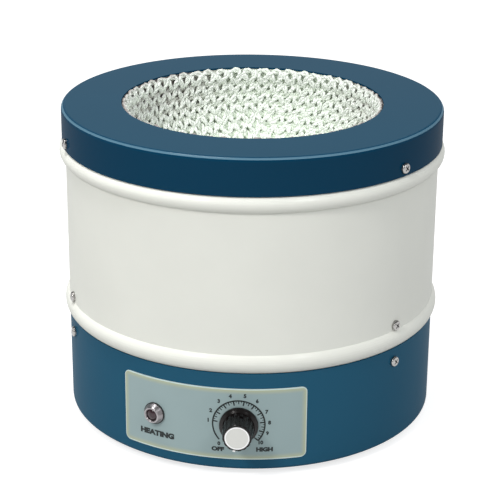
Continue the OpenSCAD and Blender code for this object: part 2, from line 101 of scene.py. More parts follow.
def seen_as_surround(tree):
    """1 for rays from the camera and for reflections and glass, 0 for the light itself."""
    path = add_node(tree, "ShaderNodeLightPath").outputs
    mirrored = compute(tree, "ADD", path["Is Glossy Ray"], path["Is Transmission Ray"])
    return add_node(tree, "ShaderNodeMath", {"operation": "ADD", "use_clamp": True},
                    v0=mirrored, v1=path["Is Camera Ray"]).outputs[0]


surround = bpy.data.worlds.new("surround")
bpy.context.scene.world = surround
surround.use_nodes = True
tree = surround.node_tree
tree.nodes.clear()
upwards = parts_of(tree, add_node(tree, "ShaderNodeTexCoord").outputs["Generated"])["Z"]
# What lights the object grows brighter towards the top
from_above = spread(tree, upwards, 0.22, 0.95, start=0.0, end=0.9)
soft_light = add_node(tree, "ShaderNodeBackground", Color=(0.96, 0.98, 1.0, 1),
                      Strength=from_above)
# What is seen is white at the level of the eye and grey overhead
ceiling = spread(tree, upwards, 1.0, 0.2, start=0.20, end=0.34)
white = add_node(tree, "ShaderNodeBackground", Color=(1, 1, 1, 1), Strength=ceiling)
shown = add_node(tree, "ShaderNodeMixShader", v0=seen_as_surround(tree),
                 v1=soft_light.outputs[0], v2=white.outputs[0])
add_node(tree, "ShaderNodeOutputWorld", Surface=shown.outputs[0])

mantle_middle = Vector((0, 0, 0.12))


def soft_lamp(name, swing, rise, distance, size, watts, colour):
    """A square lamp of the given size that faces the middle of the mantle from a distance, at
    swing degrees to the camera's right and rise degrees up."""
    lamp = bpy.data.objects.new(name, bpy.data.lights.new(name, "AREA"))
    bpy.context.scene.collection.objects.link(lamp)
    lamp.data.size = size
    lamp.data.energy = watts
    lamp.data.color = colour
    swing, rise = camera_swing + math.radians(swing), math.radians(rise)
    back = Vector((math.sin(swing) * math.cos(rise), -math.cos(swing) * math.cos(rise),
                   math.sin(rise)))
    turn = (-back).to_track_quat("-Z", "Y").to_matrix().to_4x4()
    lamp.matrix_world = Matrix.Translation(mantle_middle + back * distance) @ turn


soft_lamp("key_lamp", swing=-36, rise=40, distance=1.7, size=0.32, watts=10.0,
          colour=(1.0, 0.99, 0.96))
soft_lamp("fill_lamp", swing=34, rise=38, distance=1.9, size=0.32, watts=6.0,
          colour=(0.98, 0.99, 1.0))
soft_lamp("top_lamp", swing=-75, rise=74, distance=1.5, size=0.4, watts=8.5,
          colour=(1.0, 1.0, 1.0))

floor_half = 4.0
floor_grey = (0.46, 0.46, 0.46, 1)
floor_glow = 0.75              # added where the floor is seen, which lifts it to white
floor_mesh = bpy.data.meshes.new("floor")
floor_mesh.from_pydata([(-floor_half, -floor_half, 0), (floor_half, -floor_half, 0),
                        (floor_half, floor_half, 0), (-floor_half, floor_half, 0)],
                       [], [(0, 1, 2, 3)])
floor = bpy.data.objects.new("floor", floor_mesh)
bpy.context.scene.collection.objects.link(floor)
floor_paper = bpy.data.materials.new("floor_paper")
floor_paper.use_nodes = True
tree = floor_paper.node_tree
tree.nodes.clear()
paper = add_node(tree, "ShaderNodeBsdfDiffuse", Color=floor_grey)
glow = add_node(tree, "ShaderNodeEmission",
                Strength=compute(tree, "MULTIPLY", seen_as_surround(tree), floor_glow))
both = add_node(tree, "ShaderNodeAddShader", v0=paper.outputs[0], v1=glow.outputs[0])
add_node(tree, "ShaderNodeOutputMaterial", Surface=both.outputs[0])
floor_mesh.materials.append(floor_paper)

# ---------------------------------------------------------------- base drum, cover
# The drum is deep-drawn steel and the cover spun steel. Both have a blue powder coat: a satin
# film with a fine orange peel. On the cover, faces that look up are painted paler, a painted
# reflection, and a pale line round the upper edge is a painted highlight. Three screws fix
# each of them to the barrel.
peel_size = 0.0015
peel_depth = 0.000008
# The pale colour of the cover's painted reflection on faces that look up, and the paler blue of
# its painted highlight round the upper edge
top_sheen_colour = (0.68, 0.90, 0.82)
pale_line_highlight_blue = (0.36, 0.62, 0.76)


def start_finish(name, colour, roughness, metallic=0.0, specular=0.5):
    """An empty finish: its material, its node tree, its shader and its object coordinates."""
    material = bpy.data.materials.new(name)
    material.use_nodes = True
    material.diffuse_color = (*colour, 1)
    tree = material.node_tree
    shader = tree.nodes["Principled BSDF"]
    shader.inputs["Base Color"].default_value = (*colour, 1)
    shader.inputs["Roughness"].default_value = roughness
    shader.inputs["Metallic"].default_value = metallic
    shader.inputs["Specular IOR Level"].default_value = specular
    place = add_node(tree, "ShaderNodeTexCoord").outputs["Object"]
    return material, tree, shader, place


def opaque(colour):
    """A colour as a node takes it: another node's as it is, and a triple with full opacity."""
    return colour if isinstance(colour, bpy.types.NodeSocket) else (*colour, 1)


def shade_between(tree, amount, first, second):
    """A colour that goes from the first to the second as amount goes from 0 to 1."""
    return add_node(tree, "ShaderNodeMix", {"data_type": "RGBA"}, Factor=amount,
                    A=opaque(first), B=opaque(second)).outputs["Result"]


def tint(tree, shader, colour):
    """Wires another node's colour to a shader."""
    tree.links.new(colour, shader.inputs["Base Color"])


def noise(tree, place, size, detail=2.0):
    """Noise whose lumps are about size metres across."""
    return add_node(tree, "ShaderNodeTexNoise", Vector=place, Scale=1 / size,
                    Detail=detail).outputs["Fac"]


def emboss(tree, shader, height, depth, under=None):
    """Bumps the shader by height times depth metres, over another bump if one is given."""
    bump = add_node(tree, "ShaderNodeBump", Height=height, Distance=depth, Strength=1.0)
    if under is not None:
        tree.links.new(under, bump.inputs["Normal"])
    tree.links.new(bump.outputs["Normal"], shader.inputs["Normal"])
    return bump.outputs["Normal"]


def scaled(colour, factor):
    """A colour made lighter or darker by a factor, and no lighter than white."""
    return tuple(min(1.0, c * factor) for c in colour)


def powder_coat(name, colour, film, gloss, top_sheen=0.0, edge_shine=0.0):
    """Powder coat: a matt pigment under a fine clear film, with orange peel and a slow drift in
    colour. film is the film's share of a full varnish and gloss its roughness. The last two
    arguments are the shares of a painted reflection, a pale colour on faces that look up, and of
    a painted highlight, a pale line half way round an upper edge."""
    material, tree, shader, place = start_finish(name, colour, 0.6, specular=0.0)
    drift = noise(tree, place, 0.05, 3)
    pigment = shade_between(tree, drift, scaled(colour, 0.96), scaled(colour, 1.04))
    level = parts_of(tree, add_node(tree, "ShaderNodeTexCoord").outputs["Normal"])["Z"]
    # Painted reflection: faces that look up turn paler, as if the surround shone on them
    sheen_share = spread(tree, level, 0.0, top_sheen, start=0.9, end=1.0)
    sheened = shade_between(tree, sheen_share, pigment, top_sheen_colour)
    # Painted highlight: a pale line where the face turns half way from up to out
    pale_line_highlight = compute(tree, "MULTIPLY", spread(tree, level, 0.0, edge_shine, start=0.54, end=0.66),
                         spread(tree, level, 1.0, 0.0, start=0.74, end=0.84))
    tint(tree, shader, shade_between(tree, pale_line_highlight, sheened, pale_line_highlight_blue))
    shader.inputs["Coat Weight"].default_value = film
    shader.inputs["Coat Roughness"].default_value = gloss
    skin = noise(tree, place, peel_size)
    tree.links.new(emboss(tree, shader, skin, peel_depth), shader.inputs["Coat Normal"])
    return material


def dress(finish, *names):
    """Gives a finish to every material slot of these CAD nodes."""
    for name in names:
        for material_slot in nodes[name].material_slots:
            material_slot.material = finish


cover_blue = (0.0010, 0.038, 0.082)
base_blue = (0.0150, 0.092, 0.162)
dress(powder_coat("cover_powder_coat", cover_blue, film=0.11, gloss=0.10, top_sheen=0.031,
                  edge_shine=0.45), "top_cover")
dress(powder_coat("base_powder_coat", base_blue, film=0.12, gloss=0.12), "base_drum")

# ---------------------------------------------------------------- barrel
# Rolled aluminium sheet with a bead at each end, in a thicker cream powder coat. Its
# necks go up into the cover and down into the drum.
cream = (0.80, 0.805, 0.745)
dress(powder_coat("cream_powder_coat", cream, film=0.14, gloss=0.12), "barrel")

# ---------------------------------------------------------------- screws
# Cross-recessed pan heads in bright nickel-plated steel fix the cover, the partition pan and
# the drum to the barrel. The inner steel parts are zinc-plated: the bottom plate, the pan, the
# hoop in the bowl's rim, the nuts, the feet's screws and the regulator's shaft.


def plated(name, colour, roughness, grain, depth, variation=0.12):
    """Plated or bare metal: gloss mottled in grains of the given size, and fine pits of the
    given depth. variation is how much darker the colour gets in the mottling."""
    material, tree, shader, place = start_finish(name, colour, roughness, metallic=1.0)
    mottle = noise(tree, place, grain, 3)
    tint(tree, shader, shade_between(tree, mottle, scaled(colour, 1 - variation), colour))
    gloss = spread(tree, mottle, roughness * 0.7, roughness * 1.4, start=0.3, end=0.7)
    tree.links.new(gloss, shader.inputs["Roughness"])
    emboss(tree, shader, noise(tree, place, grain / 6), depth)
    return material


bright_nickel = plated("bright_nickel", (0.40, 0.39, 0.38), roughness=0.24, grain=0.002,
                       depth=0.00001)
zinc = plated("zinc_plate", (0.62, 0.64, 0.66), roughness=0.36, grain=0.006, depth=0.00001)
dress(bright_nickel, "cover_screws", "barrel_screws", "base_screws")
dress(zinc, "bottom_plate", "foot_screws", "foot_nuts", "partition_pan", "rim_hoop",
      "lamp_nut", "regulator_nut", "knob_grub_screw", "regulator_shaft")

# ---------------------------------------------------------------- feet
# Four moulded black rubber feet, matt, with a little bloom. A screw in each one's sunk hole
# goes up through the drum's flange and the bottom plate, to a nut inside.


def moulded(name, colour, roughness, specular, grain, depth, light):
    """Moulded plastic or rubber: fine grain of the given size and depth, and clouds in which
    the colour is up to light times as bright."""
    material, tree, shader, place = start_finish(name, colour, roughness, specular=specular)
    cloud = noise(tree, place, grain * 12, 3)
    tint(tree, shader, shade_between(tree, cloud, colour, scaled(colour, light)))
    skin = noise(tree, place, grain)
    gloss = spread(tree, skin, roughness * 0.85, roughness * 1.15, start=0.3, end=0.7)
    tree.links.new(gloss, shader.inputs["Roughness"])
    emboss(tree, shader, skin, depth)
    return material


dress(moulded("foot_rubber", (0.022, 0.022, 0.024), roughness=0.7, specular=0.3,
              grain=0.0006, depth=0.00003, light=1.6),
      "foot_1", "foot_2", "foot_3", "foot_4")

# ---------------------------------------------------------------- heating bowl
# A hemisphere of sleeved glass-fibre yarn, with the heating wire inside it, worked in rounds
# with fewer stitches in the smaller ones. The rim's loops are laced to a steel hoop on the
# insulation. A backing of glass cloth shows between the stitches.
z_bowl = 0.2325
wall_r = 0.0948               # middle of the worked wall
rounds = 18
rim_stitches = 54
first_round = 0.0066          # arc length from the bottom to the first round
crest = 0.1508                # arc length to the top of the rim's loops
stitch_reach = 0.0059         # a stitch goes this far above and below its round
stitch_depth = 0.00125        # and this far in and out of the wall
loop_swing = 0.24             # a loop's swing to each side, in stitches
neck_pull = 0.6               # how far a neck is drawn towards the head below, of the whole way
rim_lean = 0.0004             # the rim's loops lean in by this much more than their depth
uneven_in = 0.0004            # unevenness of hand work: in and out of the wall,
uneven_up = 0.0010            # up and down it,
uneven_round = 0.0012         # and round the axis
smallest_arc = 0.02           # near the bottom, unevenness turns a stitch no further than here
strand_half_width = 0.00135
strand_half_thick = 0.00115
strand_apart = 0.00122        # each of the yarn's two strands is this far from its middle
yarn_flatness = 0.35
yarn_twist = 0.014            # length of one turn of the two strands round each other
points_per_stitch = 18
strand_sides = 6
ply_pitch = 0.0030            # length of one twist of a strand's plies
plies = 3.0
round_pitch = (crest - stitch_reach - first_round) / (rounds - 1)
lit_r = wall_r - 0.0023        # nearer to the bowl's centre, yarn has its plies' colours
deep_r = wall_r - 0.0001       # and further from it, the recesses' colour with its painted shade
shade_middle = 0.004           # the painted shade spreads from this far right of the axis
# The recesses' colours: pale glass-green, kept light as painted light against their shade, and a
# grey-brown painted shade towards the rim
glass_green = (0.84, 0.93, 0.80)
painted_rim_shade = (0.34, 0.31, 0.29)
# The colours of the plies' grooves, in painted shade, and of their crowns
ply_groove_shade = (0.71, 0.755, 0.69)
ply_crown = (0.89, 0.92, 0.875)


def bowl_wall(turn, climb, inward, radius=wall_r):
    """Points of the bowl's wall and its normals towards the bowl's axis. climb is the arc
    length up from the bottom: the polar angle is climb / radius up to the equator, and past it
    the wall goes straight up. inward moves a point along the normal."""
    polar = np.minimum(climb / radius, math.pi / 2)
    rise = np.maximum(climb - radius * math.pi / 2, 0)
    normal = -np.stack([np.sin(polar) * np.cos(turn), np.sin(polar) * np.sin(turn),
                        -np.cos(polar)], -1)
    place = normal * (inward - radius)[..., None]
    place[..., 2] += z_bowl + rise
    return place, normal


def stitches_in(number):
    """How many stitches round number has: the rim's count times the sine of its polar angle."""
    climb = first_round + (number - 1) * round_pitch
    return max(6, round(rim_stitches * math.sin(min(climb / wall_r, math.pi / 2))))


def hand_work(turn, climb, size, seed):
    """Small unevenness of work done by hand: the sum of six waves in turn and climb."""
    waves = np.random.default_rng(seed)
    total = np.zeros_like(turn)
    for _ in range(6):
        along = waves.integers(3, 40)
        up = waves.uniform(60, 700)
        total += np.sin(along * turn + up * climb + waves.uniform(0, 2 * math.pi))
    return total * size / 6


def stitch_round(number):
    """The yarn's path through one round, with its normals. tau runs from 0 to 1 in each
    stitch: the yarn climbs as -cos(2 pi tau), swings sideways as sin(4 pi tau), which makes
    each loop wide at its head and narrow at its neck, and goes in and out of the wall as
    -cos(4 pi tau). The neck is drawn towards the head of a stitch in the round below."""
    count, below = stitches_in(number), stitches_in(max(number - 1, 1))
    along = np.arange(count * points_per_stitch) / points_per_stitch
    tau = along % 1
    centre = (np.arange(count) + 0.5) / count
    head_below = (np.floor(centre * below) + 0.5) / below
    drawn = neck_pull * (head_below - centre)
    looped = np.concatenate([drawn[-1:], drawn, drawn[:1]])
    shift = np.interp(along, np.arange(-1, count + 1) + 0.5, looped)
    swing = loop_swing * np.sin(4 * math.pi * tau) / count
    turn = 2 * math.pi * (along / count + swing + shift * (1 + np.cos(2 * math.pi * tau)) / 2)
    climb = first_round + (number - 1) * round_pitch - stitch_reach * np.cos(2 * math.pi * tau)
    inward = -stitch_depth * np.cos(4 * math.pi * tau)
    if number == rounds:       # the rim's loops lean in, clear of the cover's edge
        inward += (stitch_depth + rim_lean) * (1 - np.cos(2 * math.pi * tau)) / 2
    climb = np.abs(climb)
    inward = inward + hand_work(turn, climb, uneven_in, seed=1)
    climb = climb + hand_work(turn, climb, uneven_up, seed=2)
    turn = turn + hand_work(turn, climb, uneven_round, seed=3) / np.maximum(climb, smallest_arc)
    return bowl_wall(turn, climb, inward)


def along_path(path, normal):
    """At each point of a closed path: the direction forward, the one across it in the wall's
    surface, the one out of the surface, and the length of yarn up to it and in all."""
    forward = np.roll(path, -1, 0) - np.roll(path, 1, 0)
    forward /= np.linalg.norm(forward, axis=1, keepdims=True)
    across = np.cross(normal, forward)
    across /= np.linalg.norm(across, axis=1, keepdims=True)
    length = np.linalg.norm(np.roll(path, -1, 0) - path, axis=1)
    return forward, across, np.cross(forward, across), np.concatenate([[0], np.cumsum(length)])


def strand_path(path, normal, start):
    """One of the yarn's two strands: it winds round the yarn's middle in a flat helix that
    begins at the angle start and makes a whole number of turns in the round."""
    _, across, out, far = along_path(path, normal)
    turns = max(1, round(far[-1] / yarn_twist))
    angle = (start + 2 * math.pi * turns * far[:-1] / far[-1])[:, None]
    return path + strand_apart * (np.cos(angle) * across + yarn_flatness * np.sin(angle) * out)


def strand_tube(path, normal):
    """A closed tube round a strand's closed path: at each point an ellipse, wide across the
    path in the wall's surface and thick along its normal. Returns points, quads and the quads'
    UVs, where u counts the plies' twists along the strand and v goes once round it."""
    _, across, out, far = along_path(path, normal)
    count, sides = len(path), strand_sides
    angle = np.arange(sides) * 2 * math.pi / sides
    ring = (path[:, None] + strand_half_width * np.cos(angle)[None, :, None] * across[:, None]
            + strand_half_thick * np.sin(angle)[None, :, None] * out[:, None])
    i, j = np.meshgrid(np.arange(count), np.arange(sides), indexing="ij")
    nexti, nextj = (i + 1) % count, (j + 1) % sides
    quads = np.stack([i * sides + j, nexti * sides + j, nexti * sides + nextj, i * sides + nextj],
                     -1).reshape(-1, 4)
    far = far * max(1, round(far[-1] / ply_pitch)) / far[-1]
    u = np.stack([far[i], far[i + 1], far[i + 1], far[i]], -1)
    v = np.stack([j, j, j + 1, j + 1], -1) / sides
    return ring.reshape(-1, 3), quads, np.stack([u, v], -1).reshape(-1, 2)


def new_piece(name, points, faces, finish, body, slot, uv=None, smooth=True):
    """Makes a mesh piece at the origin with its place in its vertices, and rides it on a body.
    slot, the material that the record gives it, is not used."""
    mesh = bpy.data.meshes.new(name)
    mesh.from_pydata(np.asarray(points).tolist(), [], [list(map(int, f)) for f in faces])
    mesh.polygons.foreach_set("use_smooth", np.full(len(mesh.polygons), smooth))
    if uv is not None:
        mesh.uv_layers.new(name="UVMap").data.foreach_set("uv", np.asarray(uv, float).ravel())
    mesh.materials.append(finish)
    mesh.update()
    piece = bpy.data.objects.new(name, mesh)
    bpy.context.scene.collection.objects.link(piece)
    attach(piece, body)
    return piece


def recess_colour(tree, place):
    """What shows between the stitches: pale glass-green, kept light in the middle as painted
    light against the recesses' shade, and grey-brown painted shade towards the rim at the front
    and on both sides, a little more on the left. The painted shade grows with the distance from a
    point a little right of the axis, which leaves out how far back a point lies, and with the
    height."""
    parts = parts_of(tree, place)
    in_front = compute(tree, "MINIMUM", parts["Y"])
    sideways = compute(tree, "SUBTRACT", parts["X"], shade_middle)
    flat = add_node(tree, "ShaderNodeCombineXYZ", X=sideways, Y=in_front)
    aside = add_node(tree, "ShaderNodeVectorMath", {"operation": "LENGTH"},
                     v0=flat.outputs[0]).outputs["Value"]
    # Painted shade: grey-brown grows towards the rim, at the front and on both sides
    shade_share = compute(tree, "MULTIPLY", spread(tree, aside, 0.15, 1.0, start=0.035, end=0.078),
                      spread(tree, parts["Z"], 0.0, 1.0, start=0.185, end=0.222))
    return shade_between(tree, shade_share, glass_green, painted_rim_shade)


def glass_yarn():
    """Twisted glass-fibre sleeve: three plies that wind along the yarn's UV map, brighter on
    their crowns and grey-green in their grooves, where the grey-green is painted shade, with fine
    separate fibres. Where it lies deep in the wall, by its distance from the bowl's centre, it
    takes the colour of the recesses with their painted shade."""
    material, tree, shader, place = start_finish("glass_yarn", (0.90, 0.91, 0.88), 0.42,
                                                 specular=0.55)
    uv = parts_of(tree, add_node(tree, "ShaderNodeUVMap", {"uv_map": "UVMap"}).outputs["UV"])
    phase = compute(tree, "SUBTRACT", compute(tree, "MULTIPLY", uv["Y"], plies), uv["X"])
    wave = compute(tree, "SINE", compute(tree, "MULTIPLY", phase, 2 * math.pi))
    fibres = noise(tree, place, 0.0007, 3)
    lumps = noise(tree, place, 0.0045, 2)
    # Painted shade: the plies' grooves darken along the same wave that bumps them
    lit = compute(tree, "MULTIPLY", spread(tree, wave, 0.25, 1.0, start=-1.0, end=0.6),
                  spread(tree, lumps, 0.65, 1.0, start=0.35, end=0.55))
    ply = shade_between(tree, lit, ply_groove_shade, ply_crown)
    from_centre = add_node(tree, "ShaderNodeVectorMath", {"operation": "SUBTRACT"}, v0=place,
                           v1=(0, 0, z_bowl)).outputs[0]
    far = add_node(tree, "ShaderNodeVectorMath", {"operation": "LENGTH"},
                   v0=from_centre).outputs["Value"]
    # Painted shade: yarn that lies deep in the wall takes the recesses' painted colour
    deep = spread(tree, far, 0.0, 1.0, start=lit_r, end=deep_r)
    tint(tree, shader, shade_between(tree, deep, ply, recess_colour(tree, place)))
    twist = emboss(tree, shader, wave, 0.00013)
    emboss(tree, shader, fibres, 0.00012, under=twist)
    return material


yarn = glass_yarn()
for name, first, last in (("bowl_bottom_rounds", 1, 10), ("bowl_wall_rounds", 11, 17),
                          ("bowl_rim_round", 18, 18)):
    points, quads, uvs, made = [], [], [], 0
    for number in range(first, last + 1):
        path, normal = stitch_round(number)
        for start in (0.0, math.pi):
            tube = strand_tube(strand_path(path, normal, start), normal)
            points.append(tube[0])
            quads.append(tube[1] + made)
            uvs.append(tube[2])
            made += len(tube[0])
    piece = new_piece(name, np.concatenate(points), np.concatenate(quads), yarn, "housing",
                      "glass_fibre", np.concatenate(uvs))
    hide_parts("heater_bowl")

backing_r = 0.0966
backing_t = 0.0003
backing_top = 0.1545          # arc length to its upper edge


def bowl_backing(columns=120, rows=40):
    """The backing cloth: a shell on the bowl's wall, closed by a lip round its upper edge.
    Its section goes up the inner face and comes down the outer one, and is revolved."""
    up = np.linspace(0.0, backing_top, rows + 1)[1:]
    climb = np.concatenate([up, up[::-1]])
    inward = np.concatenate([np.zeros(rows), np.full(rows, -backing_t)])
    turn = np.arange(columns) * 2 * math.pi / columns
    rings = bowl_wall(turn[None, :] + 0 * climb[:, None], climb[:, None] + 0 * turn[None, :],
                      inward[:, None] + 0 * turn[None, :], backing_r)[0]
    poles = np.array([[0, 0, z_bowl - backing_r], [0, 0, z_bowl - backing_r - backing_t]])
    i, j = np.meshgrid(np.arange(2 * rows - 1), np.arange(columns), indexing="ij")
    quads = np.stack([i * columns + j, i * columns + (j + 1) % columns,
                      (i + 1) * columns + (j + 1) % columns, (i + 1) * columns + j], -1)
    k, n = np.arange(columns), 2 * rows * columns
    nextk = (k + 1) % columns
    last = (2 * rows - 1) * columns
    inner = np.stack([np.full(columns, n), nextk, k], -1)
    outer = np.stack([np.full(columns, n + 1), last + k, last + nextk], -1)
    faces = (quads.reshape(-1, 4)[:, ::-1].tolist() + inner[:, ::-1].tolist()
             + outer[:, ::-1].tolist())
    return np.concatenate([rings.reshape(-1, 3), poles]), faces


def backing_cloth():
    """Woven glass cloth, which shows only between the stitches, in the recesses' colour with its
    painted shade.
    """
    material, tree, shader, place = start_finish("backing_cloth", (0.2, 0.21, 0.19), 0.85,
                                                 specular=0.2)
    tint(tree, shader, recess_colour(tree, place))
    emboss(tree, shader, noise(tree, place, 0.0008, 3), 0.0003)
    return material


points, faces = bowl_backing()
piece = new_piece("bowl_backing", points, faces, backing_cloth(), "housing", "glass_fibre")
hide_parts("heater_bowl")

# ---------------------------------------------------------------- insulation and leads
# A block of ceramic wool lies on the partition pan and fills the barrel round the bowl. The
# heater's leads, in sleeves of braided glass fibre, go down through a porcelain bush in the pan.
wool, tree, shader, place = start_finish("ceramic_wool", (0.80, 0.78, 0.72), 0.95, specular=0.1)
tufts = noise(tree, place, 0.003, 6)
tint(tree, shader, shade_between(tree, tufts, (0.62, 0.60, 0.54), (0.88, 0.87, 0.82)))
emboss(tree, shader, tufts, 0.0008)
dress(wool, "insulation_block")

porcelain = moulded("porcelain", (0.78, 0.77, 0.73), roughness=0.22, specular=0.5,
                    grain=0.0008, depth=0.00001, light=1.05)
dress(porcelain, "lead_bush")

braid_pitch = 0.0012


def braided_sleeve(name, colour):
    """Braid: two sets of slanting strands, the product of two sine waves of one pitch, along
    Z + X and Z - X."""
    material, tree, shader, place = start_finish(name, colour, 0.7, specular=0.3)
    parts = parts_of(tree, place)
    waves = []
    for slant in ("ADD", "SUBTRACT"):
        along = compute(tree, slant, parts["Z"], parts["X"])
        waves.append(compute(tree, "SINE", compute(tree, "MULTIPLY", along,
                                                   2 * math.pi / braid_pitch)))
    strands = compute(tree, "MULTIPLY", *waves)
    tint(tree, shader, shade_between(tree, spread(tree, strands, 0, 1, start=-1, end=1),
                                     scaled(colour, 0.7), scaled(colour, 1.1)))
    emboss(tree, shader, strands, 0.0001)
    return material


dress(braided_sleeve("lead_sleeve", (0.76, 0.74, 0.66)), "heater_leads")

# ---------------------------------------------------------------- control panel
# A 0.6 mm aluminium plate bent round the drum, silk-screened grey-blue, with a painted
# highlight along its edge and a printed beige band inside it. The words and the dial are
# printed in black. The lamp's collar and the regulator's nut clamp it to the drum.
drum_r = 0.1375
panel_t = 0.0006
panel_face = drum_r + panel_t
z_controls = 0.041
panel_w = 0.137
panel_h = 0.0545
panel_corner = 0.004
highlight_edge_width = 0.0010            # the width of the painted highlight along the edge
band = 0.0042                  # how far in the beige band fades out
lamp_angle = math.radians(-17.5)
knob_angle = math.radians(8.5)
lamp_arc = lamp_angle * drum_r
knob_arc = knob_angle * drum_r
panel_grey = (0.312, 0.407, 0.413)
panel_edge_highlight = (0.60, 0.73, 0.70)
panel_band = (0.45, 0.48, 0.33)


def panel_print():
    """The plate's ground colour, with a printed beige band and a painted highlight along its
    edge.
    The distance in from the edge is that of a rounded rectangle in the unrolled plate: arc length
    round the drum and height."""
    material, tree, shader, place = start_finish("panel_print", panel_grey, 0.42, specular=0.3)
    parts = parts_of(tree, place)
    depth = compute(tree, "MULTIPLY", parts["Y"], -1.0)
    arc = compute(tree, "MULTIPLY", compute(tree, "ARCTAN2", parts["X"], depth), drum_r)
    side = compute(tree, "SUBTRACT", compute(tree, "ABSOLUTE", arc), panel_w / 2 - panel_corner)
    height = compute(tree, "SUBTRACT", parts["Z"], z_controls)
    level = compute(tree, "SUBTRACT", compute(tree, "ABSOLUTE", height),
                    panel_h / 2 - panel_corner)
    past_side = compute(tree, "POWER", compute(tree, "MAXIMUM", side), 2.0)
    past_level = compute(tree, "POWER", compute(tree, "MAXIMUM", level), 2.0)
    corner = compute(tree, "SQRT", compute(tree, "ADD", past_side, past_level))
    flat = compute(tree, "MINIMUM", compute(tree, "MAXIMUM", side, level))
    inside = compute(tree, "SUBTRACT", panel_corner, compute(tree, "ADD", corner, flat))
    cloud = noise(tree, place, 0.03, 2)
    ground = shade_between(tree, cloud, scaled(panel_grey, 0.95), scaled(panel_grey, 1.05))
    in_band = spread(tree, inside, 1.0, 0.0, start=highlight_edge_width, end=band)
    banded = shade_between(tree, in_band, ground, panel_band)
    # Painted highlight: a pale line along the plate's edge
    on_edge_highlight = spread(tree, inside, 1.0, 0.0, start=highlight_edge_width * 0.7, end=highlight_edge_width)
    tint(tree, shader, shade_between(tree, on_edge_highlight, banded, panel_edge_highlight))
    emboss(tree, shader, noise(tree, place, 0.0005), 0.000006)
    return material


dress(panel_print(), "control_panel")

ink_t = 0.00005                # thickness of the print
ink_gap = 0.00002              # the print starts this far off the plate
ink = moulded("black_ink", (0.010, 0.014, 0.014), roughness=0.5, specular=0.3, grain=0.0005,
              depth=0.000003, light=1.8)


def round_the_drum(flat):
    """Bends flat points round the drum: x is arc length, y is height and z is how far a point
    stands off the plate."""
    angle = flat[:, 0] / drum_r
    out = panel_face + ink_gap + flat[:, 2]
    return np.stack([out * np.sin(angle), -out * np.cos(angle), flat[:, 1]], -1)


def ink_strokes(strokes):
    """Printed lines, each a closed thin bar along its own points: a list of (points, width)
    in arc length and height. Each point is offset by half the width to both sides."""
    all_points, faces, made = [], [], 0
    for line, width in strokes:
        line = np.asarray(line, float)
        way = np.gradient(line, axis=0)
        way /= np.linalg.norm(way, axis=1, keepdims=True)
        side = np.stack([-way[:, 1], way[:, 0]], -1) * width / 2
        ring = np.stack([np.c_[line + side, np.zeros(len(line))],
                         np.c_[line - side, np.zeros(len(line))],
                         np.c_[line - side, np.full(len(line), ink_t)],
                         np.c_[line + side, np.full(len(line), ink_t)]], 1)
        i, j = np.meshgrid(np.arange(len(line) - 1), np.arange(4), indexing="ij")
        quads = np.stack([i * 4 + j, i * 4 + (j + 1) % 4, (i + 1) * 4 + (j + 1) % 4,
                          (i + 1) * 4 + j], -1).reshape(-1, 4)
        end = (len(line) - 1) * 4
        quads = np.concatenate([quads, [[3, 2, 1, 0]], [[end, end + 1, end + 2, end + 3]]])
        all_points.append(ring.reshape(-1, 3))
        faces.append(quads + made)
        made += len(all_points[-1])
    return round_the_drum(np.concatenate(all_points)), np.concatenate(faces)


def ink_words(name, words, arc, level, height, bold, width=None):
    """A printed word centred at an arc length and a level, with letters of the given height,
    squeezed to a width if one is given. bold is how far the letters' outlines grow."""
    curve = bpy.data.curves.new(name, "FONT")
    curve.body = words
    curve.align_x = "CENTER"
    half_thick = 0.5
    curve.extrude = half_thick
    curve.offset = bold
    curve.resolution_u = 4
    text = bpy.data.objects.new(name, curve)
    bpy.context.scene.collection.objects.link(text)
    mesh = bpy.data.meshes.new_from_object(
        text.evaluated_get(bpy.context.evaluated_depsgraph_get()))
    bpy.data.objects.remove(text)
    welded = bmesh.new()
    welded.from_mesh(mesh)
    bmesh.ops.remove_doubles(welded, verts=welded.verts, dist=1e-5)
    bmesh.ops.recalc_face_normals(welded, faces=welded.faces)
    flat = np.array([v.co for v in welded.verts])
    faces = [[v.index for v in f.verts] for f in welded.faces]
    welded.free()
    bpy.data.meshes.remove(mesh)
    low, high = flat.min(0), flat.max(0)
    tall = height / (high[1] - low[1])
    wide = width / (high[0] - low[0]) if width else tall
    flat[:, 0] = (flat[:, 0] - (low[0] + high[0]) / 2) * wide + arc
    flat[:, 1] = (flat[:, 1] - (low[1] + high[1]) / 2) * tall + level
    flat[:, 2] = (flat[:, 2] + half_thick) * ink_t
    return round_the_drum(flat), faces


def join(parts):
    """One list of points and faces out of several."""
    points, faces, made = [], [], 0
    for some, quads in parts:
        points.append(some)
        faces += [[int(v) + made for v in f] for f in quads]
        made += len(some)
    return np.concatenate(points), faces


ring_r = 0.0183
ring_line = 0.0011
ring_shift = (-0.0002, 0.0)    # the ring's middle from the knob's axis
number_step = math.radians(24)
ten_at = math.radians(132)
zero_place = -1                # the ring begins at 0, as far back as a number -1 would stand
marks_per_number = 4
whole_mark = (0.0034, 0.0010)  # length and width of the mark at a number,
half_mark = (0.0025, 0.0007)   # half way to the next,
quarter_mark = (0.0016, 0.0005)    # and at the quarters
numeral_r = 0.0215
numeral_shift = (-0.0002, 0.0010)
numeral_height = 0.0031
numeral_degrees = (-140, -87, -66, -40.5, -16, 11.5, 36.5, 65.5, 88.5, 111, 133.5)


def dial_angle(number):
    """Angle of a number on the dial, clockwise from the top: one step from each to the next."""
    return ten_at - (10 - np.asarray(number, float)) * number_step


def dial_point(angle, radius, shift=ring_shift):
    """The point at an angle clockwise from the top, round a middle shifted from the knob's."""
    return (knob_arc + shift[0] + radius * np.sin(angle),
            z_controls + shift[1] + radius * np.cos(angle))


